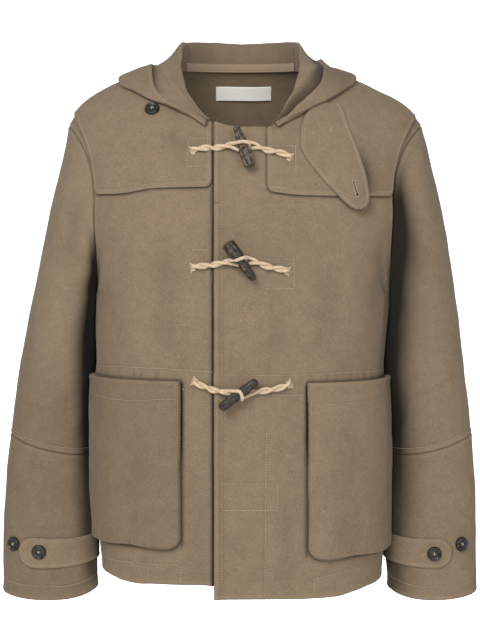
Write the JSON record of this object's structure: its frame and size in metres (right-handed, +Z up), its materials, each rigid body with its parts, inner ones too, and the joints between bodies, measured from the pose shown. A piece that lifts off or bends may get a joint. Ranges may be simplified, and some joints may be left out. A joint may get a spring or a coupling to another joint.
{
  "type": "duffle coat",
  "caption": "Short boxy duffle coat in heavy wool twill, hood down, fastened with horn toggles on corded loops, patch pockets, shoulder patches and cuff straps.",
  "frame": {"origin": "middle of the neck, level with the shoulders that hold the coat", "axes": "+Z up the wearer's body, -Y out of the coat's front, +X to the wearer's left"},
  "size_m": [0.658, 0.3804, 0.763],
  "materials": {
    "wool": "matte",
    "jute": "matte",
    "toggle_horn": "horn, satin",
    "button_horn": "horn, satin",
    "tape": "matte",
    "label": "matte"
  },
  "bodies": {
    "root": {"back": "wool", "front_left": "wool", "front_right": "wool", "yoke_left": "wool", "yoke_right": "wool", "yoke_back": "wool", "sleeve_upper_left": "wool", "sleeve_upper_right": "wool", "sleeve_lower_left": "wool", "sleeve_lower_right": "wool", "pocket_left": "wool", "pocket_right": "wool", "hood_left": "wool", "hood_right": "wool", "hood_middle": "wool", "throat_tab": "wool", "cuff_strap_left": "wool", "cuff_strap_right": "wool", "toggle_1": "toggle_horn", "toggle_2": "toggle_horn", "toggle_3": "toggle_horn", "loop_1": "jute", "loop_2": "jute", "loop_3": "jute", "cord_1": "jute", "cord_2": "jute", "cord_3": "jute", "button_throat": "button_horn", "button_strap_left": "button_horn", "button_strap_right": "button_horn", "button_spare_left": "button_horn", "button_spare_right": "button_horn", "neck_tape": "tape", "neck_label": "label"}
  },
  "joints": []
}
